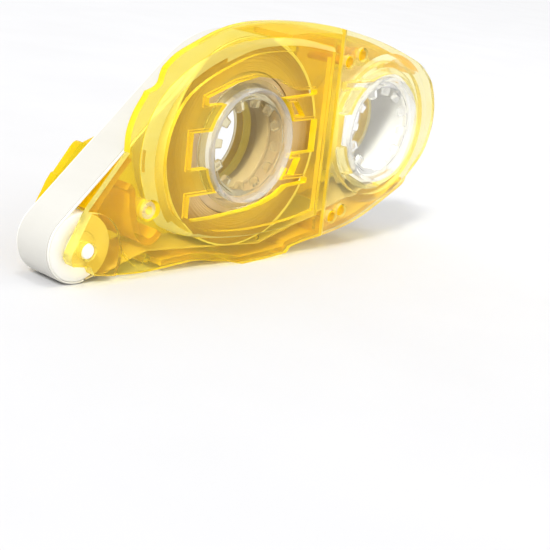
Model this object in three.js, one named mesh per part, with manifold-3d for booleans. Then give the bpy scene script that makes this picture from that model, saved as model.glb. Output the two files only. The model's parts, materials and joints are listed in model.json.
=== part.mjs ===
// Correction tape refill cassette: a narrow translucent case with a supply reel, a take-up reel
// and a tape-wrapped applicator roller at its nose. Millimetres, +Z up, front face towards -Y.
// The cassette stands on the tape under its roller and on the foot below the supply reel.
import * as THREE from 'three';
import { mergeVertices } from 'three/addons/utils/BufferGeometryUtils.js';
import Module from 'manifold-3d';

const wasm = await Module();
wasm.setup();

// ---- driving dimensions: X along the case, Z across it, both from the supply reel's axis ----
const RIM_R = 8.3;               // raised rim of each splined core
const BORE_R = 6.6;              // bore of a core, between its teeth
const TOOTH_TIP_R = 5.4;
const TOOTH_COUNT = 12;
const TOOTH_WIDTH = 1.3;
const TOOTH_Y = 1.0;             // front end of the teeth
const TOOTH_DEPTH = 1.6;
const CORE_TUBE_R = 7.6;
const REEL_SPACING = 29.8;       // supply axis to take-up axis
const SUPPLY_ROLL_R = 14.8;      // full roll
const HUB_R = 10.4;              // supply hub that carries the roll
const HUB_IN_R = 8.6;
const CLUTCH_R = 8.4;            // friction ring between the supply core and its hub
const SUPPLY_LIP_R = 9.4;        // thin flange behind each core's rim
const TAKE_UP_LIP_R = 9.8;
const SUPPLY_REAR_R = 13.2;      // rear flanges of the reels
const TAKE_UP_REAR_R = 9.8;
const TAKE_UP_ROLL_R = 8.9;      // first turns of spent tape
const ROLLER = { x: -28.7, z: -11.25 };
const ROLLER_R = 4.4;
const ROLLER_HUB_R = 2.2;
const TRUNNION_R = 1.15;
const TAPE_T = 0.35;             // tape thickness, drawn thick enough to be a solid
const TAPE_W = 6.8;
const GAP = 0.3;                 // between pieces that touch in use

// ---- depth stations, Y from the front end of the cores ----
const DOME_Y = 0.2;              // face of the raised panel round the supply reel
const FLANGE_Y = 1.0;            // face of the covers outside that panel
const COVER_T = 0.9;
const COVER_IN_Y = FLANGE_Y + COVER_T;
const DOME_IN_Y = DOME_Y + COVER_T;
const TAPE_Y = 2.25;
const TAPE_END_Y = TAPE_Y + TAPE_W;
const REAR_IN_Y = 9.8;
const REAR_Y = 11.1;
const WALL_Y = COVER_IN_Y + GAP;

// ---- case layout ----
const WALL_T = 0.8;
const TAIL_DOME_R = 11.2;        // raised ring of the tail cover round the take-up core
const SEAM_X = 18.5;             // joint between the front cover and the tail cover
const PARTITION_X = 17.1;
const FOOT = { x: 1.2, z: -17.95 };
const SHOULDER_STEPS = 4;        // steps that stand for the raised panel's rounded shoulder
const ROUND = 56;                // segments of a reel's circle
const SMALL_ROUND = 24;

// Guides that steer the spent tape under the supply roll: over the first, under the second.
const ENTRY_GUIDE = { x: -17.0, z: -14.6, r: 0.7 };
const FLOOR_GUIDE = { x: 5.0, z: -14.75, r: 0.4 };
const NOSE_POST = { x: -18.3, z: -7.2, r: 1.25, hole: 0.55 };
const COVER_PINS = [
  { name: 'cover_pin_upper_inner', x: 20.5, z: 11.0 },
  { name: 'cover_pin_upper_outer', x: 23.4, z: 12.0 },
  { name: 'cover_pin_lower_inner', x: 20.7, z: -13.3 },
  { name: 'cover_pin_lower_outer', x: 22.9, z: -12.6 },
];
const PIN_R = 0.85;

const materials = {
  amber: plastic(0xf2b91e, 0.25),
  clear: plastic(0xe4e6e2, 0.1),
  hub: plastic(0xc7a98a, 0.4),
  felt: plastic(0x8d8f88, 0.8),
  tape: plastic(0xf7f5ec, 0.5),
  roll: plastic(0xd8c8a4, 0.6),
  ivory: plastic(0xf0ebe0, 0.45),
};

function plastic(color, roughness) {
  return new THREE.MeshStandardMaterial({ color, roughness, metalness: 0 });
}

// ---- solids ----
function solid(geometry) {
  const bare = geometry.clone();
  bare.deleteAttribute('normal');
  bare.deleteAttribute('uv');
  const merged = mergeVertices(bare, 1e-4);
  return new wasm.Manifold(new wasm.Mesh({
    numProp: 3,
    vertProperties: new Float32Array(merged.attributes.position.array),
    triVerts: new Uint32Array(merged.index.array),
  }));
}

function geometryOf(manifold) {
  const mesh = manifold.getMesh();
  const geometry = new THREE.BufferGeometry();
  geometry.setAttribute('position', new THREE.BufferAttribute(mesh.vertProperties, 3));
  geometry.setIndex(new THREE.BufferAttribute(mesh.triVerts, 1));
  geometry.computeVertexNormals();
  return geometry;
}

// An outline in X and Z, made solid between two depths.
function slab(points, y0, y1) {
  const shape = new THREE.Shape(points.map(([x, z]) => new THREE.Vector2(x, z)));
  const geometry = new THREE.ExtrudeGeometry(shape, { depth: y1 - y0, bevelEnabled: false });
  geometry.translate(0, 0, -y1);
  geometry.rotateX(Math.PI / 2);
  return solid(geometry);
}

function box(x0, x1, y0, y1, z0, z1) {
  const geometry = new THREE.BoxGeometry(x1 - x0, y1 - y0, z1 - z0);
  geometry.translate((x0 + x1) / 2, (y0 + y1) / 2, (z0 + z1) / 2);
  return solid(geometry);
}

function disc(x, z, radius, y0, y1, segments = SMALL_ROUND) {
  const geometry = new THREE.CylinderGeometry(radius, radius, y1 - y0, segments);
  geometry.translate(x, (y0 + y1) / 2, z);
  return solid(geometry);
}

function ring(x, z, inner, outer, y0, y1, segments = ROUND) {
  return disc(x, z, outer, y0, y1, segments).subtract(disc(x, z, inner, y0 - 1, y1 + 1, segments));
}

// A profile of [radius, y] points turned about an axis along Y.
function turned(x, z, profile, segments = ROUND) {
  const closed = [...profile, profile[0]].map(([r, y]) => new THREE.Vector2(r, y));
  const geometry = new THREE.LatheGeometry(closed, segments);
  geometry.translate(x, 0, z);
  const made = solid(geometry);
  return made.volume() < 0 ? solid(flipped(geometry)) : made;
}

function flipped(geometry) {
  const turnedOver = geometry.clone();
  const index = turnedOver.index.array;
  for (let i = 0; i < index.length; i += 3) [index[i], index[i + 1]] = [index[i + 1], index[i]];
  return turnedOver;
}

// ---- outlines ----
function curve(points, steps) {
  const spline = new THREE.SplineCurve(points.map(([x, z]) => new THREE.Vector2(x, z)));
  return spline.getPoints(steps).map((p) => [p.x, p.y]);
}

function arc(x, z, radius, fromDeg, toDeg, steps) {
  const points = [];
  for (let i = 0; i <= steps; i += 1) {
    const a = THREE.MathUtils.degToRad(fromDeg + ((toDeg - fromDeg) * i) / steps);
    points.push([x + radius * Math.cos(a), z + radius * Math.sin(a)]);
  }
  return points;
}

// Edge of the covers, running clockwise from the notch beside the supply roll.
const topEdge = curve([[-16.7, 11.9], [-14.6, 13.5], [-11.4, 14.9], [-7, 16.5], [-2.4, 17.35], [3, 17.5],
  [8, 17.3], [13.5, 16.8], [19.4, 15.8], [28.1, 13.7], [36.8, 10.7], [39.6, 9.2]], 34);
const tailEdge = curve([[39.6, 9.2], [42.2, 6.8], [43.8, 3], [44, -0.6], [42.5, -5], [38.7, -8.7]], 16);
const bellyEdge = curve([[38.4, -9.5], [36.4, -10.7], [27.2, -14.5], [20, -15.9], [14.5, -16.4],
  [11.5, -16.9]], 16);
const footEdge = [[10.7, -17.7], [FOOT.x + 5, -17.9], [FOOT.x, FOOT.z], [-1.2, -17.3]];
const chinEdge = curve([[-1.8, -17.1], [-4.6, -16.6], [-8.3, -15.9], [-12, -15.9], [-18.3, -16],
  [-23.5, -15.5], [-27.5, -14.7]], 14);
const noseTip = [[-28.2, -13.4],
  ...curve([[-31.1, -12.9], [-31.5, -12], [-31.2, -10.9], [-30.1, -8.9], [-28.6, -6.1]], 10)];

// Left edge of the front cover, with its scalloped notch.
const cheekEdge = curve([[-22.3, 1], [-22.2, 3.6], [-21.3, 6.1], [-19.9, 8.2]], 8);
const notchEdge = curve([[-19.6, 8.8], [-18.3, 9.2], [-17.5, 9.8], [-17.2, 10.8], [-16.9, 11.6]], 8);

// The rear plate rises in a tab beside the feed tape, stops short behind the supply roll, and its
// upper edge is set back from the cover's.
const tabEdge = [[-28.5, -6], [-27.8, -4.6], [-27, -3.5], [-26.6, -3.4], [-23.7, 0.1], [-23.1, 0.4],
  [-22.4, 0.3]];
const rearEdge = curve([[-22, 0.1], [-18, 1.6], [-12.6, 5], [-8.6, 9.2], [-3.8, 12.6], [2, 14.5],
  [7, 15.2]], 20);
const rearTop = curve([[7.6, 15.3], [13, 15.5], [19, 15.1], [25, 13.9], [31, 12], [36.5, 9.9],
  [39, 8.7]], 18);

function inward(points, distance) {
  return points.map((p, i) => {
    const a = points[Math.max(i - 1, 0)];
    const b = points[Math.min(i + 1, points.length - 1)];
    const length = Math.hypot(b[0] - a[0], b[1] - a[1]);
    return [p[0] + ((b[1] - a[1]) / length) * distance, p[1] - ((b[0] - a[0]) / length) * distance];
  });
}

function between(from, to, share) {
  return from.map(([x, z], i) => [x + (to[i][0] - x) * share, z + (to[i][1] - z) * share]);
}

const lowerLeft = [...bellyEdge, ...footEdge, ...chinEdge, ...noseTip];
const coverOutline = [...cheekEdge, ...notchEdge, ...topEdge, ...tailEdge.slice(1), ...lowerLeft];
const rearTail = inward(tailEdge, 0.5);
const rearOutline = [...tabEdge, ...rearEdge, ...rearTop, ...rearTail, ...lowerLeft.slice(0, -1)];

// Raised panel over the supply reel: the foot of its rounded shoulder, and the edge of its flat top.
const domeFoot = curve([[15.8, 13.6], [8, 15], [0, 15.2], [-6, 14.3], [-11.5, 12.3], [-16.4, 9.1],
  [-19.3, 5.1], [-20.4, 0.8], [-19.9, -3.3], [-17.4, -8.6], [-14.5, -10.6], [-10.4, -12], [-5, -13],
  [2, -13.5], [10, -13.2], [15.8, -12.4]], 44);
const domeTop = curve([[15.8, 12.6], [8, 13.7], [0, 13.6], [-6, 11.9], [-10.5, 9.9], [-13.6, 7.5],
  [-15.6, 4], [-16.4, 0.2], [-16.2, -3.5], [-14.7, -7.8], [-12.6, -9.9], [-9.5, -11.5], [-5, -12.6],
  [2, -13.2], [10, -12.9], [15.8, -12.1]], 44);

// Edge of the raised pad over the roller's front end.
const padEdge = curve([[-28.6, -6.1], [-26.8, -6.5], [-25.4, -7.3], [-24.2, -8.6], [-23.5, -10.2],
  [-23.1, -12], [-23.3, -13.6], [-23.9, -15.3]], 14);

// ---- openings of the covers round the cores ----
function supplyOpening(y0, y1) {
  const lowerWindow = [[-11.8, -5.7], [-11.8, -8.8], [-10.4, -9.5], [0, -9.5], [4.1, -8.6],
    [7.5, -6.8], [12.6, -6.5], [12.6, -5.6]];
  const upperWindow = [[-10.2, 7.0], [12, 7.0], [11.2, 7.9], [7.5, 8.2], [4.6, 9.4], [0.5, 10.2],
    [-4.5, 9.6], [-10.2, 8.3]];
  return disc(0, 0, RIM_R + 0.5, y0, y1, ROUND)
    .add(box(-12.1, 0, y0, y1, -2.2, 3.1))
    .add(box(0, 12.9, y0, y1, -1.8, 3.2))
    .add(slab(lowerWindow, y0, y1))
    .add(slab(upperWindow, y0, y1));
}

function takeUpOpening(y0, y1) {
  const lowerWindow = [[22.4, -6.4], [30, -6.4], [30.5, -9.3], [27.5, -8.9], [25, -7.7]];
  return disc(REEL_SPACING, 0, RIM_R + 0.6, y0, y1, ROUND)
    .add(box(SEAM_X + 1.0, REEL_SPACING, y0, y1, -1.9, 3.1))
    .add(box(SEAM_X + 1.0, REEL_SPACING - 4, y0, y1, 7.0, 7.9))
    .add(slab(lowerWindow, y0, y1));
}

// ---- pieces of the case ----
function frontCover() {
  const panel = slab(coverOutline, FLANGE_Y, COVER_IN_Y);
  let cover = panel;
  for (let step = 0; step < SHOULDER_STEPS; step += 1) {
    const y = FLANGE_Y - ((FLANGE_Y - DOME_Y) * (step + 1)) / SHOULDER_STEPS;
    const rise = step / (SHOULDER_STEPS - 1);
    cover = cover.add(slab(between(domeFoot, domeTop, rise), y, COVER_IN_Y));
  }
  const hollow = slab(inward(domeTop, -0.5), DOME_IN_Y, COVER_IN_Y + 1);
  const pad = slab([...padEdge, [-27.5, -14.7], ...noseTip.slice(0, -1)], DOME_Y, COVER_IN_Y);
  const bearing = disc(ROLLER.x, ROLLER.z, TRUNNION_R + 0.2, -1, REAR_Y);
  const post = disc(NOSE_POST.x, NOSE_POST.z, NOSE_POST.r + GAP, 0, REAR_Y);
  const tailSide = box(SEAM_X, 60, -1, REAR_Y, -30, 30);
  return cover.add(pad)
    .subtract(hollow)
    .subtract(supplyOpening(-1, REAR_Y))
    .subtract(bearing)
    .subtract(post)
    .subtract(tailSide);
}

function tailCover() {
  const panel = slab(coverOutline, FLANGE_Y, COVER_IN_Y);
  const mainSide = box(-60, SEAM_X + GAP, -1, REAR_Y, -30, 30);
  const domeProfile = [[4, DOME_Y], [TAIL_DOME_R - 0.5, DOME_Y], [TAIL_DOME_R, DOME_Y + 0.3],
    [TAIL_DOME_R + 0.8, FLANGE_Y], [TAIL_DOME_R + 0.8, COVER_IN_Y], [4, COVER_IN_Y]];
  const hollow = disc(REEL_SPACING, 0, TAIL_DOME_R - 0.6, DOME_IN_Y, COVER_IN_Y + 1, ROUND);
  let cover = panel.add(turned(REEL_SPACING, 0, domeProfile))
    .subtract(hollow)
    .subtract(mainSide)
    .subtract(takeUpOpening(-1, REAR_Y));
  for (const pin of COVER_PINS) {
    cover = cover.subtract(disc(pin.x, pin.z, PIN_R + 0.25, -1, REAR_Y));
  }
  return cover;
}

// A wall of even thickness that follows a stretch of the outline.
function wall(points) {
  return slab([...points, ...inward(points, WALL_T).reverse()], WALL_Y, REAR_IN_Y + 0.5);
}

function rearCase() {
  const roof = rearTop.filter(([x]) => x > 7.5);
  const floor = [...bellyEdge, ...footEdge, ...chinEdge.filter(([x]) => x > -14.5)];
  const partition = box(PARTITION_X, PARTITION_X + WALL_T, WALL_Y, REAR_IN_Y + 0.5, -15.6, 14.9)
    .subtract(box(PARTITION_X - 1, PARTITION_X + 2, 0, REAR_IN_Y, -13.4, -10.4));
  const bridge = slab([[-27.9, -6.1], [-21.9, 0.3], [-21, -0.2], [-22.6, -1.9], [-25.2, -5],
    [-26.6, -7]], WALL_Y, REAR_IN_Y + 0.5);
  const scoop = curve([[-21.2, -3.9], [-20.5, -4.7], [-20.3, -7], [-19.6, -9.4], [-18.6, -11.2],
    [-17.1, -12.1], [-15.8, -11.7], [-15.1, -10.9]], 16);
  const scoopWall = slab([...inward(scoop, 0.5), ...inward(scoop, -0.5).reverse()], WALL_Y,
    REAR_IN_Y + 0.5);
  return slab(rearOutline, REAR_IN_Y, REAR_Y)
    .add(wall(roof))
    .add(wall(floor))
    .add(partition)
    .add(bridge)
    .add(scoopWall)
    .subtract(disc(0, 0, CORE_TUBE_R + 0.4, 0, REAR_Y + 1, ROUND))
    .subtract(disc(REEL_SPACING, 0, CORE_TUBE_R + 0.4, 0, REAR_Y + 1, ROUND))
    .subtract(disc(ROLLER.x, ROLLER.z, TRUNNION_R + 0.2, 0, REAR_Y + 1));
}

// ---- reels ----
function splinedCore(x, rimR, flangeR) {
  const profile = [[BORE_R, 0.5], [BORE_R + 0.3, 0.15], [rimR - 0.9, 0], [rimR - 0.3, 0.15], [rimR, 0.6],
    [rimR, 1.35], [flangeR, 1.4], [flangeR, 2.0], [CORE_TUBE_R, 2.05], [CORE_TUBE_R, REAR_Y - 0.3],
    [BORE_R, REAR_Y - 0.3]];
  let core = turned(x, 0, profile);
  for (let i = 0; i < TOOTH_COUNT; i += 1) {
    const tooth = new THREE.BoxGeometry(BORE_R - TOOTH_TIP_R + 0.4, TOOTH_DEPTH, TOOTH_WIDTH);
    tooth.translate((BORE_R + TOOTH_TIP_R + 0.4) / 2, TOOTH_Y + TOOTH_DEPTH / 2, 0);
    tooth.rotateY((i * 2 * Math.PI) / TOOTH_COUNT);
    tooth.translate(x, 0, 0);
    core = core.add(solid(tooth));
  }
  return core;
}

// ---- tape path: circles that it passes, radius positive where it turns with the supply reel ----
const tapeStops = [
  { x: 0, z: 0, rho: SUPPLY_ROLL_R + GAP },
  { x: ROLLER.x, z: ROLLER.z, rho: ROLLER_R + GAP },
  { x: ENTRY_GUIDE.x, z: ENTRY_GUIDE.z, rho: -(ENTRY_GUIDE.r + GAP + TAPE_T) },
  { x: FLOOR_GUIDE.x, z: FLOOR_GUIDE.z, rho: FLOOR_GUIDE.r + GAP },
  { x: REEL_SPACING, z: 0, rho: TAKE_UP_ROLL_R + GAP },
];

// Direction, in degrees, from each circle's centre to where the straight run to the next one touches.
const tapeTurns = tapeStops.slice(1).map((to, i) => {
  const from = tapeStops[i];
  const dx = to.x - from.x;
  const dz = to.z - from.z;
  const lean = Math.acos((from.rho - to.rho) / Math.hypot(dx, dz));
  return THREE.MathUtils.radToDeg(Math.atan2(dz, dx) - lean);
});

function tapeBand(points) {
  return slab([...points, ...inward(points, TAPE_T).reverse()], TAPE_Y, TAPE_END_Y);
}

function touch(stop, degrees) {
  return arc(stop.x, stop.z, stop.rho, degrees, degrees, 1)[0];
}

function shortened(from, to, cut) {
  const length = Math.hypot(to[0] - from[0], to[1] - from[1]);
  const point = (s) => from.map((start, i) => start + ((to[i] - start) * s) / length);
  return [point(cut), point(length - cut)];
}

function feedTape() {
  return tapeBand(shortened(touch(tapeStops[0], tapeTurns[0]), touch(tapeStops[1], tapeTurns[0]), 0.2));
}

function rollerTape() {
  const [, roller] = tapeStops;
  return tapeBand(arc(roller.x, roller.z, roller.rho, tapeTurns[0] + 360, tapeTurns[1] + 360, 20));
}

function returnTape() {
  const [, roller, entry, floor, takeUp] = tapeStops;
  const [start] = shortened(touch(roller, tapeTurns[1]), touch(entry, tapeTurns[1]), 0.2);
  return tapeBand([start,
    ...arc(entry.x, entry.z, entry.rho, tapeTurns[1], tapeTurns[2], 5),
    ...arc(floor.x, floor.z, floor.rho, tapeTurns[2], tapeTurns[3], 5),
    ...arc(takeUp.x, takeUp.z, takeUp.rho, tapeTurns[3], tapeTurns[3] + 25, 6)]);
}

// ---- assembly ----
const cassette = new THREE.Group();

function add(name, manifold, material) {
  const mesh = new THREE.Mesh(geometryOf(manifold), material);
  mesh.name = name;
  cassette.add(mesh);
}

add('rear_case', rearCase(), materials.amber);
add('front_cover', frontCover(), materials.amber);
add('tail_cover', tailCover(), materials.amber);
for (const pin of COVER_PINS) {
  add(pin.name, disc(pin.x, pin.z, PIN_R, FLANGE_Y, REAR_IN_Y - GAP), materials.amber);
}
add('nose_post', ring(NOSE_POST.x, NOSE_POST.z, NOSE_POST.hole, NOSE_POST.r, FLANGE_Y - 0.2,
  REAR_IN_Y - GAP, SMALL_ROUND), materials.amber);
add('entry_guide', disc(ENTRY_GUIDE.x, ENTRY_GUIDE.z, ENTRY_GUIDE.r, WALL_Y, REAR_IN_Y - GAP),
  materials.amber);
add('floor_guide', disc(FLOOR_GUIDE.x, FLOOR_GUIDE.z, FLOOR_GUIDE.r, WALL_Y, REAR_IN_Y - GAP),
  materials.amber);

function rearFlange(x, radius) {
  return ring(x, 0, CORE_TUBE_R + 0.2, radius, TAPE_END_Y + 0.15, REAR_IN_Y - 0.25);
}

add('supply_core', splinedCore(0, RIM_R, SUPPLY_LIP_R), materials.clear);
add('supply_clutch_ring', ring(0, 0, CORE_TUBE_R + 0.15, CLUTCH_R, 4.6, 6.8), materials.felt);
add('supply_hub', ring(0, 0, HUB_IN_R, HUB_R, TAPE_Y + 0.1, TAPE_END_Y - 0.1), materials.hub);
add('supply_tape_roll', ring(0, 0, HUB_R + 0.2, SUPPLY_ROLL_R, TAPE_Y, TAPE_END_Y), materials.roll);
add('supply_rear_flange', rearFlange(0, SUPPLY_REAR_R), materials.clear);

add('take_up_core', splinedCore(REEL_SPACING, RIM_R + 0.15, TAKE_UP_LIP_R), materials.clear);
add('take_up_tape_roll', ring(REEL_SPACING, 0, CORE_TUBE_R + 0.2, TAKE_UP_ROLL_R, TAPE_Y, TAPE_END_Y),
  materials.tape);
add('take_up_rear_flange', rearFlange(REEL_SPACING, TAKE_UP_REAR_R), materials.clear);

const trunnions = disc(ROLLER.x, ROLLER.z, TRUNNION_R, DOME_Y + 0.1, REAR_Y - 0.3);
add('roller_hub', disc(ROLLER.x, ROLLER.z, ROLLER_HUB_R, TAPE_Y + 0.1, TAPE_END_Y - 0.1).add(trunnions),
  materials.ivory);
add('roller_sleeve', ring(ROLLER.x, ROLLER.z, ROLLER_HUB_R + 0.15, ROLLER_R, TAPE_Y + 0.05,
  TAPE_END_Y - 0.05, 40), materials.ivory);

add('feed_tape', feedTape(), materials.tape);
add('roller_tape', rollerTape(), materials.tape);
add('return_tape', returnTape(), materials.tape);

// Tilt the case until the foot and the tape under the roller share one floor, then stand it on
// the origin, centred.
const wrapR = ROLLER_R + GAP + TAPE_T;
const dx = FOOT.x - ROLLER.x;
const dz = FOOT.z - ROLLER.z;
const tilt = Math.asin(-wrapR / Math.hypot(dx, dz)) - Math.atan2(dz, dx);
cassette.rotation.y = -tilt;
const bounds = new THREE.Box3().setFromObject(cassette, true);
const centre = bounds.getCenter(new THREE.Vector3());
cassette.position.set(-centre.x, -centre.y, -bounds.min.z);

export default cassette;
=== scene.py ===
"""Correction tape refill cassette: fine meshes, materials, floor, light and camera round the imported
CAD model. Shapes are built in the case's own millimetres (X from the supply reel to the take-up
reel, Y from the front ends of the cores, Z across) and then laid into the frame."""
import json
import random
from math import atan2, acos, cos, degrees, hypot, pi, radians, sin

import bmesh
import bpy
from mathutils import Matrix, Vector


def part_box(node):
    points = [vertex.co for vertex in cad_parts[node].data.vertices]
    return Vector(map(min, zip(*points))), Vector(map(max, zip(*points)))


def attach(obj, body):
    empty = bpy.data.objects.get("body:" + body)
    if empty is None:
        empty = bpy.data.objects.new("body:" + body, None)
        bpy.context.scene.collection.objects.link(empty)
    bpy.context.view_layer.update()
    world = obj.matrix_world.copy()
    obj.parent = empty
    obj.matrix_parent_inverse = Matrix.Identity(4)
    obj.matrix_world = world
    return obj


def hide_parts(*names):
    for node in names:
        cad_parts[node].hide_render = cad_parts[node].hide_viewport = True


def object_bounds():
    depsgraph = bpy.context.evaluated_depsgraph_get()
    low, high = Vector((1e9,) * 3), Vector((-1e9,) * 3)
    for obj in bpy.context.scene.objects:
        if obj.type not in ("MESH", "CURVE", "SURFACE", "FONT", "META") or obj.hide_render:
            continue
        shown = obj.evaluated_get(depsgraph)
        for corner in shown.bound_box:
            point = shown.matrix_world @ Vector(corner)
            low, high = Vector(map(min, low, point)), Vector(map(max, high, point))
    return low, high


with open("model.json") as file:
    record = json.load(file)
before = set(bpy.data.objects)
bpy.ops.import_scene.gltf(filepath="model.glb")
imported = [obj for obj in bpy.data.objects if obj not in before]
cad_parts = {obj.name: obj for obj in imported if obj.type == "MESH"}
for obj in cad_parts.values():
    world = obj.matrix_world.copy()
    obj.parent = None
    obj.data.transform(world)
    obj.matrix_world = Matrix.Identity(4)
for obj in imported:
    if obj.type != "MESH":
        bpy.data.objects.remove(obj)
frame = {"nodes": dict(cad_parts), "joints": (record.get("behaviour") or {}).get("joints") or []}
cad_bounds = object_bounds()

MM = 0.001

# ---- the case's frame, worked out from the reels' axes ----
axis_at = {joint["name"]: Vector(joint["pos_m"]) for joint in frame["joints"]}
SUPPLY_AXIS = axis_at["supply_spin"]
TAKE_UP_AXIS = axis_at["take_up_spin"]
ALONG = (TAKE_UP_AXIS - SUPPLY_AXIS).normalized()
ACROSS = Vector((-ALONG.z, 0, ALONG.x))
FRONT = cad_bounds[0].y
CASE = Matrix(((ALONG.x, 0, ACROSS.x, 0), (0, 1, 0, 0), (ALONG.z, 0, ACROSS.z, 0), (0, 0, 0, 1)))
CASE = Matrix.Translation((SUPPLY_AXIS.x, FRONT, SUPPLY_AXIS.z)) @ CASE @ Matrix.Scale(MM, 4)
TO_CASE = CASE.inverted()

REEL_SPACING = (TAKE_UP_AXIS - SUPPLY_AXIS).length / MM
roller_at = TO_CASE @ axis_at["roller_spin"]
ROLLER_X, ROLLER_Z = roller_at.x, roller_at.z


def radius_of(node):
    low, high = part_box(node)
    return (high.x - low.x) / 2 / MM


def depth_of(node):
    low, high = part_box(node)
    return (low.y - FRONT) / MM, (high.y - FRONT) / MM


TAPE_Y, TAPE_END_Y = depth_of("supply_tape_roll")
REAR_Y = depth_of("rear_case")[1]
ROLL_R = radius_of("supply_tape_roll")
RIM_R = 8.3
ROLLER_R = radius_of("roller_sleeve")
TAKE_UP_ROLL_R = radius_of("take_up_tape_roll")

# ---- depths of the case's faces ----
DOME_Y = 0.2
FLANGE_Y = 1.0
COVER_T = 0.9
COVER_IN_Y = FLANGE_Y + COVER_T
WALL_Y = 2.2
REAR_IN_Y = 9.8
WALL_END_Y = REAR_IN_Y + 0.3
SEAM_X = 18.5

# ---- sizes across the plates ----
PARTITION_X = 17.1
WALL_T = 0.8
ROUNDING = 0.14
BORE_R = 6.6
CORE_R = 7.6
TEETH = 12
TOOTH_TIP_R = 5.4
TOOTH_TURN = 0.13
TOOTH_FRONT_Y = 1.05
TOOTH_END_Y = 1.75
HUB_R = 10.4
CLUTCH_R = 8.4
TRUNNION_R = 1.05
REAR_TRUNNION_R = 1.15
SLEEVE_BORE_R = 2.35
ENTRY_GUIDE_R = 0.7
FLOOR_GUIDE_R = 0.4
POST_X, POST_Z = -18.3, -7.2

# ---- how far a cutting tool reaches: before the case, behind a cover, behind the case ----
BEFORE_Y = -1
BEHIND_COVER_Y = 4
BEHIND_CASE_Y = 14

# ---- when edges are rounded and how faces are told apart by their normal's Y ----
WELD = 0.004
ROUND_FROM = radians(40)
SHARP_FROM = radians(38)
SIDE_FACING = 0.5
FLAT_FACING = 0.99


# ---- outlines ----
def curve(points, steps):
    """Points of a smooth curve through the given ones."""
    last = len(points) - 1
    made = []
    for k in range(steps + 1):
        t = k / steps * last
        i = min(int(t), last - 1)
        w = t - i
        p = [points[max(i - 1, 0)], points[i], points[i + 1], points[min(i + 2, last)]]
        made.append(tuple(catmull(*values, w) for values in zip(*p)))
    return made


def catmull(a, b, c, d, w):
    v0, v1 = (c - a) / 2, (d - b) / 2
    return (2 * b - 2 * c + v0 + v1) * w ** 3 + (-3 * b + 3 * c - 2 * v0 - v1) * w * w + v0 * w + b


def arc(x, z, radius, start, end, steps):
    angles = [radians(start + (end - start) * i / steps) for i in range(steps + 1)]
    return [(x + radius * cos(a), z + radius * sin(a)) for a in angles]


def inward(points, distance):
    """The same run of points, moved to the right of its direction."""
    moved = []
    for i, (x, z) in enumerate(points):
        ax, az = points[max(i - 1, 0)]
        bx, bz = points[min(i + 1, len(points) - 1)]
        length = hypot(bx - ax, bz - az)
        moved.append((x + (bz - az) / length * distance, z - (bx - ax) / length * distance))
    return moved


def between(a, b, share):
    return [(x + (u - x) * share, z + (v - z) * share) for (x, z), (u, v) in zip(a, b)]


FOOT = (1.2, -17.95)
top_edge = curve([(-16.7, 11.9), (-14.6, 13.5), (-11.4, 14.9), (-7, 16.5), (-2.4, 17.35), (3, 17.5),
                  (8, 17.3), (13.5, 16.8), (19.4, 15.8), (28.1, 13.7), (36.8, 10.7), (39.6, 9.2)], 80)
tail_edge = curve([(39.6, 9.2), (42.2, 6.8), (43.8, 3), (44, -0.6), (42.5, -5), (38.7, -8.7)], 40)
belly_edge = curve([(38.4, -9.5), (36.4, -10.7), (27.2, -14.5), (20, -15.9), (14.5, -16.4),
                    (11.5, -16.9)], 36)
foot_edge = [(10.7, -17.7), (FOOT[0] + 5, -17.9), FOOT, (-1.2, -17.3)]
chin_edge = curve([(-1.8, -17.1), (-4.6, -16.6), (-8.3, -15.9), (-12, -15.9), (-18.3, -16),
                   (-23.5, -15.5), (-27.5, -14.7)], 30)
nose_tip = [(-28.2, -13.4)] + curve([(-31.1, -12.9), (-31.5, -12), (-31.2, -10.9), (-30.1, -8.9),
                                     (-28.6, -6.1)], 24)
cheek_edge = curve([(-22.3, 1), (-22.2, 3.6), (-21.3, 6.1), (-19.9, 8.2)], 20)
notch_edge = curve([(-19.6, 8.8), (-18.3, 9.2), (-17.5, 9.8), (-17.2, 10.8), (-16.9, 11.6)], 16)
tab_edge = [(-28.5, -6), (-27.8, -4.6), (-27, -3.5), (-26.6, -3.4), (-23.9, -0.1), (-23.5, 0.3),
            (-23, 0.5), (-22.6, 0.4)]
rear_edge = curve([(-22, 0.1), (-18, 1.6), (-12.6, 5), (-8.6, 9.2), (-3.8, 12.6), (2, 14.5),
                   (7, 15.2)], 40)
rear_top = curve([(7.6, 15.3), (13, 15.5), (19, 15.1), (25, 13.9), (31, 12), (36.5, 9.9), (39, 8.7)], 40)
lower_left = belly_edge + foot_edge + chin_edge + nose_tip
cover_outline = cheek_edge + notch_edge + top_edge + tail_edge[1:] + lower_left
rear_outline = tab_edge + rear_edge + rear_top + inward(tail_edge, 0.5) + lower_left[:-1]

dome_foot = curve([(15.8, 13.6), (8, 15), (0, 15.2), (-6, 14.3), (-11.5, 12.3), (-16.4, 9.1),
                   (-19.3, 5.1), (-20.4, 0.8), (-19.9, -3.3), (-17.4, -8.6), (-14.5, -10.6),
                   (-10.4, -12), (-5, -13), (2, -13.5), (10, -13.2), (15.8, -12.4)], 120)
dome_top = curve([(15.8, 12.6), (8, 13.7), (0, 13.6), (-6, 11.9), (-10.5, 9.9), (-13.6, 7.5),
                  (-15.6, 4), (-16.4, 0.2), (-16.2, -3.5), (-14.7, -7.8), (-12.6, -9.9),
                  (-9.5, -11.5), (-5, -12.6), (2, -13.2), (10, -12.9), (15.8, -12.1)], 120)
pad_edge = curve([(-28.6, -6.1), (-26.8, -6.5), (-25.4, -7.3), (-24.2, -8.6), (-23.5, -10.2),
                  (-23.1, -12), (-23.3, -13.6), (-23.9, -15.3)], 40)


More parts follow.
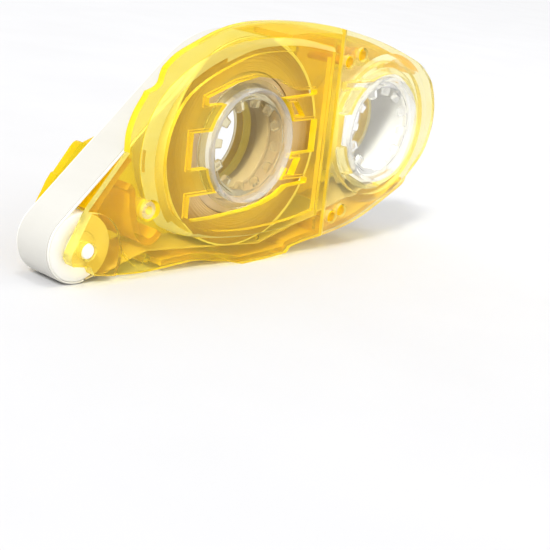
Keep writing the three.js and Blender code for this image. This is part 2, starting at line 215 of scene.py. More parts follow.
# ---- solids, in case millimetres ----
def solid(verts, faces):
    mesh = bpy.data.meshes.new("solid")
    mesh.from_pydata([Vector(v) for v in verts], [], faces)
    work = bmesh.new()
    work.from_mesh(mesh)
    bmesh.ops.recalc_face_normals(work, faces=work.faces)
    work.to_mesh(mesh)
    work.free()
    made = bpy.data.objects.new("solid", mesh)
    bpy.context.scene.collection.objects.link(made)
    return made


def loft(sections):
    """Closed solid through outlines of equal count, given as (points, y)."""
    count = len(sections[0][0])
    verts = [(x, y, z) for points, y in sections for x, z in points]
    faces = [list(range(count)), list(range(len(verts) - count, len(verts)))]
    for ring in range(len(sections) - 1):
        for i in range(count):
            a, b = ring * count + i, ring * count + (i + 1) % count
            faces.append((a, b, b + count, a + count))
    return solid(verts, faces)


def prism(points, y0, y1):
    return loft([(points, y0), (points, y1)])


def block(x0, x1, y0, y1, z0, z1):
    return prism([(x0, z0), (x1, z0), (x1, z1), (x0, z1)], y0, y1)


def lathe(x, z, profile, steps=96):
    """Solid of revolution about an axis along Y, from a closed profile of (radius, y)."""
    verts = []
    for i in range(steps):
        a = 2 * pi * i / steps
        verts += [(x + r * cos(a), y, z + r * sin(a)) for r, y in profile]
    count = len(profile)
    faces = []
    for i in range(steps):
        for k in range(count):
            a, b = i * count + k, i * count + (k + 1) % count
            c, d = ((i + 1) % steps) * count + (k + 1) % count, ((i + 1) % steps) * count + k
            faces.append((a, b, c, d))
    return solid(verts, faces)


def plug(x, z, profile, steps=48):
    """Solid of revolution whose open profile of (radius, y) ends in flat faces on the axis."""
    verts = []
    for r, y in profile:
        verts += [(x + r * cos(2 * pi * i / steps), y, z + r * sin(2 * pi * i / steps))
                  for i in range(steps)]
    faces = [list(range(steps)), list(range(len(verts) - steps, len(verts)))]
    for ring in range(len(profile) - 1):
        for i in range(steps):
            a, b = ring * steps + i, ring * steps + (i + 1) % steps
            faces.append((a, b, b + steps, a + steps))
    return solid(verts, faces)


def disc(x, z, radius, y0, y1, steps=96):
    return plug(x, z, [(radius, y0), (radius, y1)], steps)


def tube(x, z, inner, outer, y0, y1, round_by=0.15, steps=96):
    """Ring with rounded edges."""
    c = round_by
    return lathe(x, z, [(inner + c, y0), (outer - c, y0), (outer - c * 0.3, y0 + c * 0.3), (outer, y0 + c),
                        (outer, y1 - c), (outer - c * 0.3, y1 - c * 0.3), (outer - c, y1),
                        (inner + c, y1), (inner + c * 0.3, y1 - c * 0.3), (inner, y1 - c),
                        (inner, y0 + c), (inner + c * 0.3, y0 + c * 0.3)], steps)


def combine(base, other, operation):
    modifier = base.modifiers.new("combine", "BOOLEAN")
    modifier.operation = operation
    modifier.solver = "MANIFOLD"
    modifier.object = other
    bake(base)
    bpy.data.objects.remove(other)
    return base


def bake(piece):
    bpy.context.view_layer.update()
    depsgraph = bpy.context.evaluated_depsgraph_get()
    mesh = bpy.data.meshes.new_from_object(piece.evaluated_get(depsgraph))
    piece.modifiers.clear()
    piece.data = mesh


def add(base, *others):
    for other in others:
        combine(base, other, "UNION")
    return base


def cut(base, *others):
    for other in others:
        combine(base, other, "DIFFERENCE")
    return base


def settle(piece, name, material, body, nodes, bevel=0.0, edge=None, slope=None):
    """Round the edges, lay the piece into the frame, attach it to its body and hide its CAD parts. Faces
    that look along the plate take the edge material, and those in between the slope material."""
    piece.name = name
    if bevel:
        work = bmesh.new()
        work.from_mesh(piece.data)
        bmesh.ops.remove_doubles(work, verts=work.verts, dist=WELD)
        bmesh.ops.dissolve_degenerate(work, edges=work.edges, dist=WELD)
        work.to_mesh(piece.data)
        work.free()
        modifier = piece.modifiers.new("round", "BEVEL")
        modifier.width = bevel
        modifier.segments = 2
        modifier.limit_method = "ANGLE"
        modifier.angle_limit = ROUND_FROM
        bake(piece)
    piece.data.transform(CASE)
    piece.data.name = name
    piece.data.shade_smooth()
    piece.data.set_sharp_from_angle(angle=SHARP_FROM)
    modifier = piece.modifiers.new("normals", "WEIGHTED_NORMAL")
    modifier.keep_sharp = True
    bake(piece)
    piece.data.materials.clear()
    piece.data.materials.append(material)
    if edge:
        piece.data.materials.append(edge)
        piece.data.materials.append(slope or material)
        for face in piece.data.polygons:
            facing = abs(face.normal.y)
            face.material_index = 1 if facing < SIDE_FACING else 2 if facing < FLAT_FACING else 0
    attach(piece, body)
    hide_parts(*nodes)
    return piece


def repaint(piece, index, wanted):
    """Gives the faces picked by their centre in the case's frame another of the piece's materials."""
    for face in piece.data.polygons:
        if wanted(TO_CASE @ face.center, face.normal):
            face.material_index = index


# ---- materials ----
def shader(name):
    material = bpy.data.materials.new(name)
    material.use_nodes = True
    tree = material.node_tree
    return material, tree, tree.nodes["Principled BSDF"], tree.nodes["Material Output"]


def node(tree, kind, settings=None, **inputs):
    made = tree.nodes.new("ShaderNode" + kind)
    for key, value in (settings or {}).items():
        setattr(made, key, value)
    for key, value in inputs.items():
        made.inputs[key.replace("_", " ")].default_value = value
    return made


def noise(tree, place, scale, detail=3.0, stretch=(1, 1, 1)):
    mapping = node(tree, "Mapping", Scale=stretch)
    tree.links.new(place, mapping.inputs["Vector"])
    made = node(tree, "TexNoise", Scale=scale, Detail=detail)
    tree.links.new(mapping.outputs["Vector"], made.inputs["Vector"])
    return made.outputs["Fac"]


def spread(tree, value, low, high, start=0.3, end=0.7):
    made = node(tree, "MapRange")
    for key, number in (("From Min", start), ("From Max", end), ("To Min", low), ("To Max", high)):
        made.inputs[key].default_value = number
    tree.links.new(value, made.inputs["Value"])
    return made.outputs["Result"]


def two_tones(tree, value, first, second):
    made = node(tree, "ValToRGB")
    made.color_ramp.elements[0].position = 0.3
    made.color_ramp.elements[0].color = (*first, 1)
    made.color_ramp.elements[1].position = 0.7
    made.color_ramp.elements[1].color = (*second, 1)
    tree.links.new(value, made.inputs["Fac"])
    return made.outputs["Color"]


def relief(tree, bsdf, value, strength, height):
    made = node(tree, "Bump", Strength=strength, Distance=height)
    tree.links.new(value, made.inputs["Height"])
    tree.links.new(made.outputs["Normal"], bsdf.inputs["Normal"])


def sum_of(tree, *values):
    total = values[0]
    for value in values[1:]:
        made = node(tree, "Math", {"operation": "ADD"})
        tree.links.new(total, made.inputs[0])
        tree.links.new(value, made.inputs[1])
        total = made.outputs["Value"]
    return total


def clear_plastic(name, tones, transmission, shade, roughness=(0.05, 0.12), shine=0.25, bending=1.25):
    """Moulded see-through plastic: faint flow marks and fine handling scratches. Shade is what it
    leaves of a lamp's light."""
    material, tree, bsdf, out = shader(name)
    place = node(tree, "TexCoord").outputs["Object"]
    flow = noise(tree, place, 140, 4, (1, 0.4, 2.2))
    scratches = noise(tree, place, 2600, 2, (1, 1, 0.06))
    skin = noise(tree, place, 900, 3)
    tree.links.new(two_tones(tree, flow, *tones), bsdf.inputs["Base Color"])
    worn = spread(tree, sum_of(tree, flow, scratches), *roughness, 0.7, 1.3)
    tree.links.new(worn, bsdf.inputs["Roughness"])
    relief(tree, bsdf, sum_of(tree, flow, skin), 0.08, 0.00005)
    bsdf.inputs["Transmission Weight"].default_value = transmission
    bsdf.inputs["IOR"].default_value = bending
    bsdf.inputs["Specular IOR Level"].default_value = shine
    pass_lamps(tree, bsdf, out, shade)
    return material


def pass_lamps(tree, bsdf, out, shade):
    """Lets a lamp's light through, less what the shade colour takes."""
    ray = node(tree, "LightPath")
    through = node(tree, "BsdfTransparent", Color=(*shade, 1))
    mix = node(tree, "MixShader")
    tree.links.new(ray.outputs["Is Shadow Ray"], mix.inputs["Fac"])
    tree.links.new(bsdf.outputs["BSDF"], mix.inputs[1])
    tree.links.new(through.outputs["BSDF"], mix.inputs[2])
    tree.links.new(mix.outputs["Shader"], out.inputs["Surface"])


def solid_plastic(name, tones, roughness, grain=700, height=0.00002, subsurface=0.0,
                  stretch=(1, 1, 1), shade=None):
    """Plastic, paper or coating with a fine grain and a slow change of tone. Shade, if given, is what
    it leaves of a lamp's light."""
    material, tree, bsdf, out = shader(name)
    place = node(tree, "TexCoord").outputs["Object"]
    slow = noise(tree, place, 160, 3, stretch)
    fine = noise(tree, place, grain, 4, stretch)
    tree.links.new(two_tones(tree, slow, *tones), bsdf.inputs["Base Color"])
    tree.links.new(spread(tree, fine, *roughness), bsdf.inputs["Roughness"])
    relief(tree, bsdf, fine, 0.3, height)
    if subsurface:
        bsdf.inputs["Subsurface Weight"].default_value = subsurface
        bsdf.inputs["Subsurface Radius"].default_value = (0.001, 0.0008, 0.0006)
        bsdf.inputs["Subsurface Scale"].default_value = 1.0
    if shade:
        pass_lamps(tree, bsdf, out, shade)
    return material


def wound_tape(name, axis, outer, tones, roughness):
    """Side of a wound roll: rings that follow the radius from the reel's axis, towards the first
    tone at the outer radius (mm)."""
    material, tree, bsdf, _ = shader(name)
    place = node(tree, "TexCoord").outputs["Object"]
    offset = node(tree, "VectorMath", {"operation": "SUBTRACT"})
    offset.inputs[1].default_value = axis
    tree.links.new(place, offset.inputs[0])
    flat = node(tree, "VectorMath", {"operation": "MULTIPLY"})
    flat.inputs[1].default_value = (1, 0, 1)
    tree.links.new(offset.outputs["Vector"], flat.inputs[0])
    radius = node(tree, "VectorMath", {"operation": "LENGTH"})
    tree.links.new(flat.outputs["Vector"], radius.inputs[0])
    turns = node(tree, "TexNoise", {"noise_dimensions": "1D"}, Scale=9000, Detail=3)
    tree.links.new(radius.outputs["Value"], turns.inputs["W"])
    bands = node(tree, "TexNoise", {"noise_dimensions": "1D"}, Scale=900, Detail=2)
    tree.links.new(radius.outputs["Value"], bands.inputs["W"])
    dust = noise(tree, place, 1500, 3)
    fade = spread(tree, radius.outputs["Value"], 0.65, 0.0, outer * 0.7 * MM, outer * MM)
    rings = spread(tree, sum_of(tree, turns.outputs["Fac"], bands.outputs["Fac"]), 0.10, 0.28, 0.7, 1.3)
    tree.links.new(two_tones(tree, sum_of(tree, fade, rings), *tones), bsdf.inputs["Base Color"])
    tree.links.new(spread(tree, dust, *roughness), bsdf.inputs["Roughness"])
    relief(tree, bsdf, turns.outputs["Fac"], 0.3, 0.00003)
    return material


AMBER_SHADE = (0.95, 0.95, 0.92)
PALE_SHADE = (0.95, 0.95, 0.93)
DEEP_SHADE = (0.52, 0.52, 0.52)
CLEAR_SHADE = (0.96, 0.96, 0.95)
TAPE_SHADE = (0.72, 0.72, 0.71)
FROSTED = (0.12, 0.20)
SATIN = (0.10, 0.18)
SMOOTH = (0.35, 0.5)
CHALKY = (0.6, 0.8)
ALONG_TAPE = (1, 0.2, 1)
HAIR = 0.00001

amber = clear_plastic("amber_plastic", ((1.0, 0.84, 0.16), (1.0, 0.88, 0.22)), 0.92, AMBER_SHADE)
# deeper, more diffuse copy of the amber for faces that look along the plate: partly the plastic's real
# deeper tint along its long path edge-on, partly a painted glow on edges and window rims
amber_edge_tint_and_painted_glow = clear_plastic("amber_cut_edge_tint_and_painted_glow", ((1.0, 0.75, 0.02), (1.0, 0.80, 0.05)), 0.45,
                           AMBER_SHADE)
# lighter, more diffuse copy of the amber for the dome's sloping shoulder: a painted highlight where light
# catches it
shoulder_amber_painted_highlight = clear_plastic("amber_shoulder_painted_highlight", ((1.0, 0.87, 0.20), (1.0, 0.91, 0.28)), 0.58,
                               AMBER_SHADE)
thick_amber = clear_plastic("thick_amber_plastic", ((1.0, 0.74, 0.15), (1.0, 0.79, 0.21)), 0.90,
                            AMBER_SHADE)
pale_amber = clear_plastic("pale_amber_plastic", ((0.97, 0.89, 0.48), (0.98, 0.92, 0.57)), 0.90,
                           PALE_SHADE)
# the tail cover's edge copy: real deeper tint edge-on and painted glow
pale_edge_tint_and_painted_glow = clear_plastic("pale_amber_cut_edge_tint_and_painted_glow", ((1.0, 0.84, 0.22), (1.0, 0.88, 0.32)), 0.60,
                          PALE_SHADE)
deep_amber = clear_plastic("deep_amber_plastic", ((0.95, 0.73, 0.015), (0.97, 0.78, 0.04)), 0.84,
                           DEEP_SHADE)
# the rear case's edge copy: real deeper tint edge-on and painted glow
deep_edge_tint_and_painted_glow = clear_plastic("deep_amber_cut_edge_tint_and_painted_glow", ((1.0, 0.67, 0.003), (1.0, 0.72, 0.010)), 0.42,
                          DEEP_SHADE)
clear = clear_plastic("clear_plastic", ((0.95, 0.95, 0.94), (0.98, 0.98, 0.975)), 0.80,
                      CLEAR_SHADE, FROSTED, 0.4, 1.13)
smoky = clear_plastic("smoky_clear_plastic", ((0.78, 0.70, 0.47), (0.83, 0.76, 0.54)), 0.86,
                      CLEAR_SHADE, SATIN, 0.4, 1.16)
felt = solid_plastic("clutch_felt", ((0.62, 0.52, 0.36), (0.72, 0.62, 0.45)), (0.85, 1.0), 2400,
                     0.0001)
beige = solid_plastic("beige_hub_plastic", ((0.52, 0.40, 0.26), (0.58, 0.45, 0.31)), SMOOTH)
# the feed and roller tape's coating is a darker copy of the same white coating: painted shade that holds
# its lamp-lit faces down
coating = solid_plastic("chalky_tape_coating_painted_shade", ((0.62, 0.606, 0.555), (0.65, 0.637, 0.59)), CHALKY,
                        1800, HAIR, stretch=ALONG_TAPE, shade=TAPE_SHADE)
# the roll's outer turn takes a lighter copy of the same coating: painted light where the covers keep the
# light off
coating_painted_light = solid_plastic("tape_coating_painted_light", ((0.90, 0.89, 0.85), (0.94, 0.93, 0.90)), CHALKY,
                              1800, HAIR, stretch=ALONG_TAPE, shade=TAPE_SHADE)
backing = solid_plastic("tape_backing_paper", ((0.82, 0.80, 0.74), (0.87, 0.86, 0.80)), SMOOTH,
                        2200, HAIR, shade=(0.85, 0.84, 0.80))
film = solid_plastic("spent_backing_film", ((0.66, 0.53, 0.26), (0.72, 0.59, 0.32)), SMOOTH, 2200,
                     HAIR, shade=(0.93, 0.93, 0.92))
ivory = solid_plastic("ivory_roller_rubber", ((0.88, 0.87, 0.84), (0.92, 0.91, 0.89)), (0.4, 0.55),
                      1200, subsurface=0.2)
roll_side = wound_tape("supply_tape_edge", tuple(SUPPLY_AXIS), ROLL_R,
                       ((0.36, 0.21, 0.06), (0.56, 0.40, 0.20)), (0.45, 0.7))
spent_side = wound_tape("spent_tape_edge", tuple(TAKE_UP_AXIS), TAKE_UP_ROLL_R,
                        ((0.86, 0.85, 0.81), (0.93, 0.92, 0.89)), (0.45, 0.7))


# ---- the case ----
def rectangle(x0, x1, z0, z1):
    return [(x0, z0), (x1, z0), (x1, z1), (x0, z1)]


def grow(points, by):
    """A closed outline moved outwards by a distance."""
    area = sum(a[0] * b[1] - b[0] * a[1] for a, b in zip(points, points[1:] + points[:1]))
    side = by if area > 0 else -by
    moved = []
    for i, (x, z) in enumerate(points):
        before, after = points[i - 1], points[(i + 1) % len(points)]
        first = Vector((x - before[0], z - before[1])).normalized()
        second = Vector((after[0] - x, after[1] - z)).normalized()
        normal = Vector((first.y + second.y, -first.x - second.x)).normalized()
        reach = side / max(normal.dot(Vector((first.y, -first.x))), 0.4)
        moved.append((x + normal.x * reach, z + normal.y * reach))
    return moved


SUPPLY_WINDOWS = [
    rectangle(-11.8, 0, -2.3, 2.9),
    rectangle(0, 13.4, -1.9, 3),
    [(-11.6, -6), (-11.6, -9.1), (-10.6, -9.6), (-6.2, -9.7), (0, -9.4), (3.3, -8.9), (6.2, -8),
     (8.3, -6.8), (12.5, -6.6), (12.5, -5.8), (7.2, -5.6), (3, -6)],
    [(-9.5, 6.5), (-9.5, 7.6), (-4, 9.4), (0, 10), (4.2, 9.5), (6.2, 8.6), (8.3, 7.6), (12.6, 7.5),
     (12.6, 6.7), (6, 6.5)],
    [(7.2, 5.9), (8.7, 5.9), (10.5, 3.7), (8.4, 3.7)],
    [(8.2, -2.6), (10.6, -2.6), (9.4, -5.2), (7.6, -5.0)],
]
TAIL_WINDOWS = [
    rectangle(SEAM_X + 1.2, REEL_SPACING, -1.9, 3.1),
    rectangle(SEAM_X + 1.2, REEL_SPACING - 4, 7.0, 7.9),
    [(22.4, -6.4), (30, -6.4), (30.5, -9.3), (27.5, -8.9), (25, -7.7)],
]
WINDOW_RIM_T = 0.3
WINDOW_RIM_END_Y = 1.45
CORE_GAP = 0.5
RIDGE_HALF_T = 0.14


def open_windows(cover, outlines, core_x, core_r):
    """Cuts the windows, each with a thin rim standing inwards round it, and the core's own hole."""
    rims = [prism(grow(outline, WINDOW_RIM_T), DOME_Y + 0.4, WINDOW_RIM_END_Y) for outline in outlines]
    add(cover, *rims)
    cut(cover, *[prism(outline, BEFORE_Y, BEHIND_COVER_Y) for outline in outlines])
    cut(cover, disc(core_x, 0, core_r, BEFORE_Y, BEHIND_COVER_Y, 128))


def ribbon(run, half, y0, y1):
    """Solid of even thickness that follows a run of points on both sides."""
    return prism(inward(run, half) + inward(run, -half)[::-1], y0, y1)


def front_cover():
    plate = prism(cover_outline, FLANGE_Y, COVER_IN_Y)
    lip = [p for p in cheek_edge + notch_edge + top_edge if p[0] < SEAM_X + 2]
    add(plate, prism(lip + inward(lip, 0.5)[::-1], FLANGE_Y + 0.3, COVER_IN_Y + 0.25))
    rise = [(0, 0.12)] + [(1 - cos(radians(a)), sin(radians(a))) for a in range(15, 91, 15)]
    sections = [(dome_foot, COVER_IN_Y - 0.1)]
    for share, height in rise:
        depth = FLANGE_Y - (FLANGE_Y - DOME_Y) * height
        sections.append((between(dome_foot, dome_top, share), depth))
    add(plate, loft(sections[::-1]))
    ledge = curve([(-23.9, -9.2), (-23.4, -11.1), (-21.8, -13.2), (-20.2, -14.6)], 24)
    add(plate, ribbon(ledge, RIDGE_HALF_T, FLANGE_Y - 0.25, FLANGE_Y + 0.2))
    hook = curve([(-16.1, -8.9), (-15.3, -9.9), (-13.7, -10.9), (-12.7, -11.2)], 16)
    add(plate, ribbon(hook, RIDGE_HALF_T, FLANGE_Y - 0.2, FLANGE_Y + 0.2))
    cheek_pad = pad_edge + [(-27.5, -14.7)] + nose_tip[:-1]
    add(plate, prism(cheek_pad, DOME_Y, COVER_IN_Y - 0.05))
    hollow = inward(dome_top, -0.6)
    cut(plate, prism(hollow, DOME_Y + COVER_T, COVER_IN_Y + 1))
    open_windows(plate, SUPPLY_WINDOWS, 0, RIM_R + CORE_GAP)
    cut(plate, disc(ROLLER_X, ROLLER_Z, TRUNNION_R + 0.2, BEFORE_Y, BEHIND_COVER_Y, 48))
    cut(plate, disc(POST_X, POST_Z, 1.55, BEFORE_Y, BEHIND_COVER_Y, 48))
    cut(plate, block(SEAM_X, 60, BEFORE_Y, BEHIND_COVER_Y, -30, 30))
    shell = settle(plate, "front_cover_shell", amber, "case", ["front_cover"], ROUNDING, amber_edge_tint_and_painted_glow,
                   shoulder_amber_painted_highlight)
    shell.data.materials.append(thick_amber)
    repaint(shell, 3, lambda at, normal: at.x < -20 and at.y < FLANGE_Y - 0.3)
    # the pad's side faces take the lighter shoulder copy: painted highlight
    repaint(shell, 2, lambda at, normal: at.x < -24.5 and abs(normal.y) < SIDE_FACING)


def tail_cover():
    plate = prism(cover_outline, FLANGE_Y, COVER_IN_Y)
    ring_r = 11.2
    ring = [(4, DOME_Y), (ring_r - 0.7, DOME_Y), (ring_r - 0.2, DOME_Y + 0.08),
            (ring_r + 0.3, DOME_Y + 0.35), (ring_r + 0.8, FLANGE_Y),
            (ring_r + 0.8, COVER_IN_Y - 0.05), (4, COVER_IN_Y - 0.05)]
    add(plate, lathe(REEL_SPACING, 0, ring))
    cut(plate, disc(REEL_SPACING, 0, ring_r - 0.6, DOME_Y + COVER_T, BEHIND_COVER_Y))
    cut(plate, block(-60, SEAM_X + 0.3, BEFORE_Y, BEHIND_COVER_Y, -30, 30))
    open_windows(plate, TAIL_WINDOWS, REEL_SPACING, RIM_R + CORE_GAP + 0.1)
    for x, z in PINS:
        cut(plate, disc(x, z, 1.1, BEFORE_Y, BEHIND_COVER_Y, 40))
    settle(plate, "tail_cover_shell", pale_amber, "case", ["tail_cover"], ROUNDING, pale_edge_tint_and_painted_glow)


def wall(points):
    return prism(points + inward(points, WALL_T)[::-1], WALL_Y, WALL_END_Y)


def rear_case():
    plate = prism(rear_outline, REAR_IN_Y, REAR_Y)
    roof = [p for p in rear_top if p[0] > 7.5]
    floor = belly_edge + foot_edge + [p for p in chin_edge if p[0] > -14.5]
    partition = block(PARTITION_X, PARTITION_X + WALL_T, WALL_Y, WALL_END_Y, -15.6, 14.9)
    cut(partition, block(PARTITION_X - 1, PARTITION_X + 2, 0, REAR_IN_Y, -13.4, -10.4))
    bridge = [(-27.9, -6.1), (-21.9, 0.3), (-21.0, -0.2), (-22.6, -1.9), (-25.2, -5.0), (-26.6, -7.0)]
    scoop = curve([(-21.2, -3.9), (-20.5, -4.7), (-20.3, -7), (-19.6, -9.4), (-18.6, -11.2),
                   (-17.1, -12.1), (-15.8, -11.7), (-15.1, -10.9)], 40)
    add(plate, wall(roof), wall(floor), partition, prism(bridge, WALL_Y, WALL_END_Y))
    add(plate, ribbon(scoop, 0.5, WALL_Y, WALL_END_Y))
    for x in (0, REEL_SPACING):
        cut(plate, disc(x, 0, CORE_R + 0.4, 0, BEHIND_CASE_Y))
    cut(plate, disc(ROLLER_X, ROLLER_Z, REAR_TRUNNION_R + 0.2, 0, BEHIND_CASE_Y, 48))
    shell = settle(plate, "rear_case_shell", deep_amber, "case", ["rear_case"], ROUNDING, deep_edge_tint_and_painted_glow)
    # the partition's faces that look along X keep the plain rear amber, without the edge copy's deeper
    # tint and painted glow
    repaint(shell, 0,
            lambda at, normal: abs(at.x - PARTITION_X) < 2 * WALL_T and abs(normal.x) > 0.9)


def centre_of(name):
    low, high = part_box(name)
    middle = TO_CASE @ ((low + high) / 2)
    return middle.x, middle.z


PIN_NODES = sorted(name for name in frame["nodes"] if name.startswith("cover_pin"))
PINS = [centre_of(name) for name in PIN_NODES]


def cover_pins():
    for name, (x, z) in zip(PIN_NODES, PINS):
        profile = [(0.35, FLANGE_Y), (0.6, FLANGE_Y + 0.04), (0.76, FLANGE_Y + 0.14),
                   (0.85, FLANGE_Y + 0.35), (0.85, 3.2), (0.7, 3.4), (0.62, REAR_IN_Y - 0.4)]
        settle(plug(x, z, profile), name + "_post", deep_amber, "case", [name], edge=deep_edge_tint_and_painted_glow)


def guides():
    x, z = centre_of("nose_post")
    post = tube(x, z, 0.55, 1.25, FLANGE_Y - 0.2, REAR_IN_Y - 0.3, 0.22, 48)
    settle(post, "nose_post_tube", clear, "case", ["nose_post"], edge=pale_edge_tint_and_painted_glow)
    for name, r in (("entry_guide", ENTRY_GUIDE_R), ("floor_guide", FLOOR_GUIDE_R)):
        x, z = centre_of(name)
        y0, y1 = depth_of(name)
        profile = [(r - 0.15, y0), (r, y0 + 0.15), (r, (y0 + y1) / 2), (r, y1 - 0.15), (r - 0.15, y1)]
        settle(plug(x, z, profile, 40), name + "_rod", amber, "case", [name])


# ---- reels ----
def splined_core(name, x, rim_r, lip_r, body, material):
    """Sleeve with a rounded rim in front, a lip behind it and a ring of teeth in its bore. The rim is
    clear on every core."""
    profile = [(BORE_R, 1.2), (BORE_R + 0.12, 0.95), (BORE_R + 0.4, 0.85), (BORE_R + 0.5, 1.25),
               (rim_r - 0.75, 1.25), (rim_r - 0.68, 0.3), (rim_r - 0.5, 0.06), (rim_r - 0.3, 0.0),
               (rim_r - 0.1, 0.08), (rim_r, 0.35), (rim_r, 1.3), (lip_r - 0.1, 1.36), (lip_r, 1.5),
               (lip_r - 0.1, 1.95), (CORE_R, 2.05), (CORE_R, REAR_Y - 0.5), (CORE_R - 0.2, REAR_Y - 0.3),
               (BORE_R + 0.2, REAR_Y - 0.3), (BORE_R, REAR_Y - 0.5)]
    core = lathe(x, 0, profile, 120)
    side = [(TOOTH_TIP_R, 0.5), (TOOTH_TIP_R + 0.12, 0.62), (BORE_R + 0.3, 0.72), (rim_r - 0.72, 0.5)]
    outline = [(r, -half) for r, half in side] + side[::-1]
    for k in range(TEETH):
        tooth = prism(outline, TOOTH_FRONT_Y, TOOTH_END_Y)
        turn = Matrix.Rotation(k * 2 * pi / TEETH + TOOTH_TURN, 4, "Y")
        tooth.data.transform(Matrix.Translation((x, 0, 0)) @ turn)
        add(core, tooth)
    settle(core, name + "_shell", material, body, [name], 0.08)
    core.data.materials.append(clear)
    repaint(core, 1, lambda at, normal: at.y < 1.0 and hypot(at.x - x, at.z) > 7.2)


def rear_flange(x, radius, name, body, nodes):
    ring = tube(x, 0, CORE_R + 0.2, radius, TAPE_END_Y + 0.15, REAR_IN_Y - 0.25, 0.12)
    settle(ring, name, clear, body, nodes)


def supply_reel():
    body = "supply_reel"
    splined_core("supply_core", 0, RIM_R, 9.4, "supply_drive", smoky)
    clutch = tube(0, 0, CORE_R + 0.15, CLUTCH_R, 4.6, 6.8, 0.12)
    settle(clutch, "clutch_ring", felt, "supply_drive", ["supply_clutch_ring"])
    hub = tube(0, 0, CLUTCH_R + 0.2, HUB_R, TAPE_Y + 0.1, TAPE_END_Y - 0.1, 0.25)
    settle(hub, "supply_hub_ring", beige, body, ["supply_hub"])
    roll = winding(0, HUB_R + 0.02, ROLL_R, 34, 7)
    settle(roll, "supply_tape_winding", roll_side, body, ["supply_tape_roll"])
    # outer turn in the lighter coating copy: painted light
    turn = tube(0, 0, ROLL_R + 0.02, ROLL_R + 0.27, TAPE_Y + 0.02, TAPE_END_Y - 0.02, 0.04, 160)
    settle(turn, "supply_outer_turn", coating_painted_light, body, ["supply_tape_roll"])
    rear_flange(0, 13.2, "supply_rear_flange_disc", body, ["supply_rear_flange"])


def winding(x, inner, outer, turns, seed):
    """Wound tape whose turns stand a little proud of each other at both edges."""
    draw = random.Random(seed)
    step = (outer - inner) / turns
    front, back = [], []
    for k in range(turns):
        proud = draw.uniform(0, 0.03)
        r = inner + k * step
        front += [(r + step * 0.12, TAPE_Y + proud), (r + step * 0.88, TAPE_Y + proud)]
        back += [(r + step * 0.12, TAPE_END_Y - proud), (r + step * 0.88, TAPE_END_Y - proud)]
    return lathe(x, 0, front + back[::-1], 128)


def take_up_reel():
    body = "take_up_reel"
    splined_core("take_up_core", REEL_SPACING, RIM_R + 0.15, 9.8, body, clear)
    roll = winding(REEL_SPACING, CORE_R + 0.2, TAKE_UP_ROLL_R, 6, 11)
    settle(roll, "take_up_winding", spent_side, body, ["take_up_tape_roll"])
    rear_flange(REEL_SPACING, 9.8, "take_up_rear_flange_disc", body, ["take_up_rear_flange"])


def applicator():
    r, hub_r = TRUNNION_R, SLEEVE_BORE_R - 0.03
    front = [(r - 0.25, DOME_Y + 0.1), (r - 0.1, DOME_Y + 0.16), (r, DOME_Y + 0.35), (r, TAPE_Y + 0.1)]
    middle = [(hub_r - 0.05, TAPE_Y + 0.1), (hub_r, TAPE_Y + 0.15), (hub_r, TAPE_END_Y - 0.15),
              (hub_r - 0.05, TAPE_END_Y - 0.1)]
    back = [(REAR_TRUNNION_R, TAPE_END_Y - 0.1), (REAR_TRUNNION_R, REAR_Y - 0.5),
            (REAR_TRUNNION_R - 0.15, REAR_Y - 0.3)]
    axle = plug(ROLLER_X, ROLLER_Z, front + middle + back, 64)
    settle(axle, "roller_hub_axle", ivory, "applicator", ["roller_hub"])
    sleeve = tube(ROLLER_X, ROLLER_Z, SLEEVE_BORE_R, ROLLER_R + 0.26, TAPE_Y + 0.05, TAPE_END_Y - 0.05,
                  0.12)
    settle(sleeve, "roller_rubber_sleeve", ivory, "applicator", ["roller_sleeve"])


# ---- tape ----
GAP = 0.3
BACKING_T = 0.16
COATING_T = 0.12
COATING_INSET = 0.35
STOPS = [(0, 0, ROLL_R + GAP), (ROLLER_X, ROLLER_Z, ROLLER_R + GAP),
         (-17.0, -14.6, -(ENTRY_GUIDE_R + GAP + 0.35)), (5.0, -14.75, FLOOR_GUIDE_R + GAP),
         (REEL_SPACING, 0, TAKE_UP_ROLL_R + GAP)]
TURNS = []
for (x0, z0, r0), (x1, z1, r1) in zip(STOPS, STOPS[1:]):
    leaning = acos((r0 - r1) / hypot(x1 - x0, z1 - z0))
    TURNS.append(degrees(atan2(z1 - z0, x1 - x0) - leaning))


def stop_arc(stop, start, end, steps):
    x, z, r = STOPS[stop]
    return arc(x, z, r, start, end, steps)


def strip(run, thickness, inset=0.0):
    """Band of the tape's width that lies along the inner side of a run of points."""
    return prism(run + inward(run, thickness)[::-1], TAPE_Y + inset, TAPE_END_Y - inset)


def tape():
    """New tape, as a backing with the narrower white coating on its outer side, and the spent
    backing on its way back."""
    nodes = ["feed_tape", "roller_tape"]
    over_roll = stop_arc(0, -60, TURNS[0] + 360 if TURNS[0] < 0 else TURNS[0], 90)
    wrap = stop_arc(1, TURNS[0] + 360, TURNS[1] + 360, 60)
    run = over_roll + wrap
    settle(strip(run, BACKING_T), "feed_and_roller_tape_backing", backing, "case", nodes)
    # feed and roller tape coating in the darker copy: painted shade
    layer = strip(inward(run, BACKING_T + 0.02), COATING_T, COATING_INSET)
    settle(layer, "feed_and_roller_tape_coating", coating, "case", nodes)
    back = (stop_arc(2, TURNS[1], TURNS[2], 12) + stop_arc(3, TURNS[2], TURNS[3], 12)
            + stop_arc(4, TURNS[3], TURNS[3] + 25, 16))
    start = between([wrap[-1]], [back[0]], 0.03)
    settle(strip(start + back, BACKING_T), "return_tape_ribbon", film, "case", ["return_tape"])


# ---- floor, light, camera ----
FLOOR_HALF = 3
SKY_STRENGTH = 0.76
LIT_POINT = Vector((0, 0, 0.015))
CAMERA_DISTANCE = 23.2238 * RIM_R
CAMERA_AIM = Vector((7.586, 0, -20.45))
CAMERA_AZIMUTH, CAMERA_HEIGHT, CAMERA_ROLL = radians(-48.8247), radians(18.2389), radians(6.4212)
LENS_MM = 83.67
SENSOR_MM = 36
NEAR_CLIP = 0.01
BOUNCES = 24
CLEAR_BOUNCES = 32


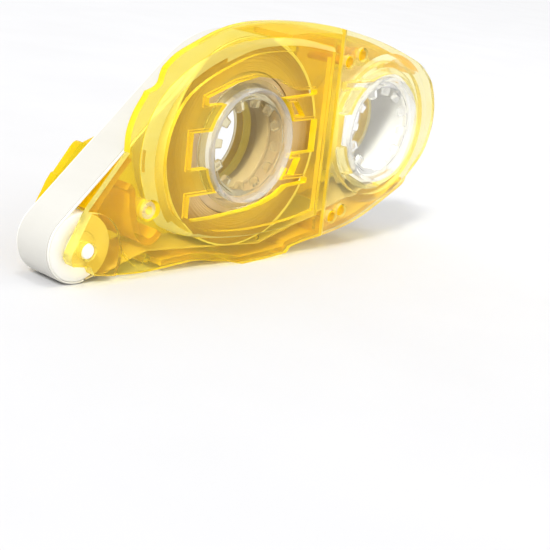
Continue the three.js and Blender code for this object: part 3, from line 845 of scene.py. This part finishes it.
def stage():
    half = FLOOR_HALF
    floor = solid([(-half, -half, 0), (half, -half, 0), (half, half, 0), (-half, half, 0)],
                  [(0, 1, 2, 3)])
    floor.name = "floor"
    material, tree, bsdf, _ = shader("pale_floor")
    place = node(tree, "TexCoord").outputs["Object"]
    tone = two_tones(tree, noise(tree, place, 30, 3), (0.68, 0.68, 0.69), (0.70, 0.70, 0.71))
    tree.links.new(tone, bsdf.inputs["Base Color"])
    bsdf.inputs["Roughness"].default_value = 0.9
    bsdf.inputs["Specular IOR Level"].default_value = 0.1
    floor.data.materials.append(material)

    world = bpy.data.worlds.new("studio")
    world.use_nodes = True
    world.node_tree.nodes["Background"].inputs["Color"].default_value = (1, 1, 1, 1)
    world.node_tree.nodes["Background"].inputs["Strength"].default_value = SKY_STRENGTH
    bpy.context.scene.world = world
    distant("key", 2.0, 7, (0.68, 0.27, -0.68))
    distant("overhead", 0.55, 14, (0.05, 0.10, -0.99))
    lamp("fill", (0.45, -0.30, 0.35), 0.40, 0.7)


def distant(name, strength, width, direction):
    data = bpy.data.lights.new(name, "SUN")
    data.energy = strength
    data.angle = radians(width)
    made = bpy.data.objects.new(name, data)
    bpy.context.scene.collection.objects.link(made)
    made.rotation_euler = Vector(direction).to_track_quat("-Z", "Y").to_euler()


def lamp(name, place, size, power):
    data = bpy.data.lights.new(name, "AREA")
    data.shape = "DISK"
    data.size = size
    data.energy = power
    made = bpy.data.objects.new(name, data)
    bpy.context.scene.collection.objects.link(made)
    made.location = place
    made.rotation_euler = (LIT_POINT - made.location).to_track_quat("-Z", "Y").to_euler()


def camera():
    """Stands in front of the nose, above the case, and leans a little with it."""
    level = cos(CAMERA_HEIGHT)
    back = Vector((sin(CAMERA_AZIMUTH) * level, -cos(CAMERA_AZIMUTH) * level, sin(CAMERA_HEIGHT)))
    right = (-back).cross(Vector((0, 0, 1))).normalized()
    up = back.cross(right)
    turned_right = cos(CAMERA_ROLL) * right + sin(CAMERA_ROLL) * up
    turned_up = cos(CAMERA_ROLL) * up - sin(CAMERA_ROLL) * right
    made = bpy.data.objects.new("camera", bpy.data.cameras.new("camera"))
    bpy.context.scene.collection.objects.link(made)
    place = Matrix.Identity(4)
    for column, direction in enumerate((turned_right, turned_up, back)):
        world_direction = (CASE.to_3x3() @ direction).normalized()
        for row in range(3):
            place[row][column] = world_direction[row]
    place.translation = CASE @ (CAMERA_AIM + back * CAMERA_DISTANCE)
    made.matrix_world = place
    made.data.lens = LENS_MM
    made.data.sensor_width = SENSOR_MM
    made.data.clip_start = NEAR_CLIP
    bpy.context.scene.camera = made


front_cover()
tail_cover()
rear_case()
cover_pins()
guides()
supply_reel()
take_up_reel()
applicator()
tape()
stage()
camera()

scene = bpy.context.scene
scene.view_settings.view_transform = "Standard"
scene.cycles.max_bounces = BOUNCES
scene.cycles.transmission_bounces = BOUNCES
scene.cycles.transparent_max_bounces = CLEAR_BOUNCES
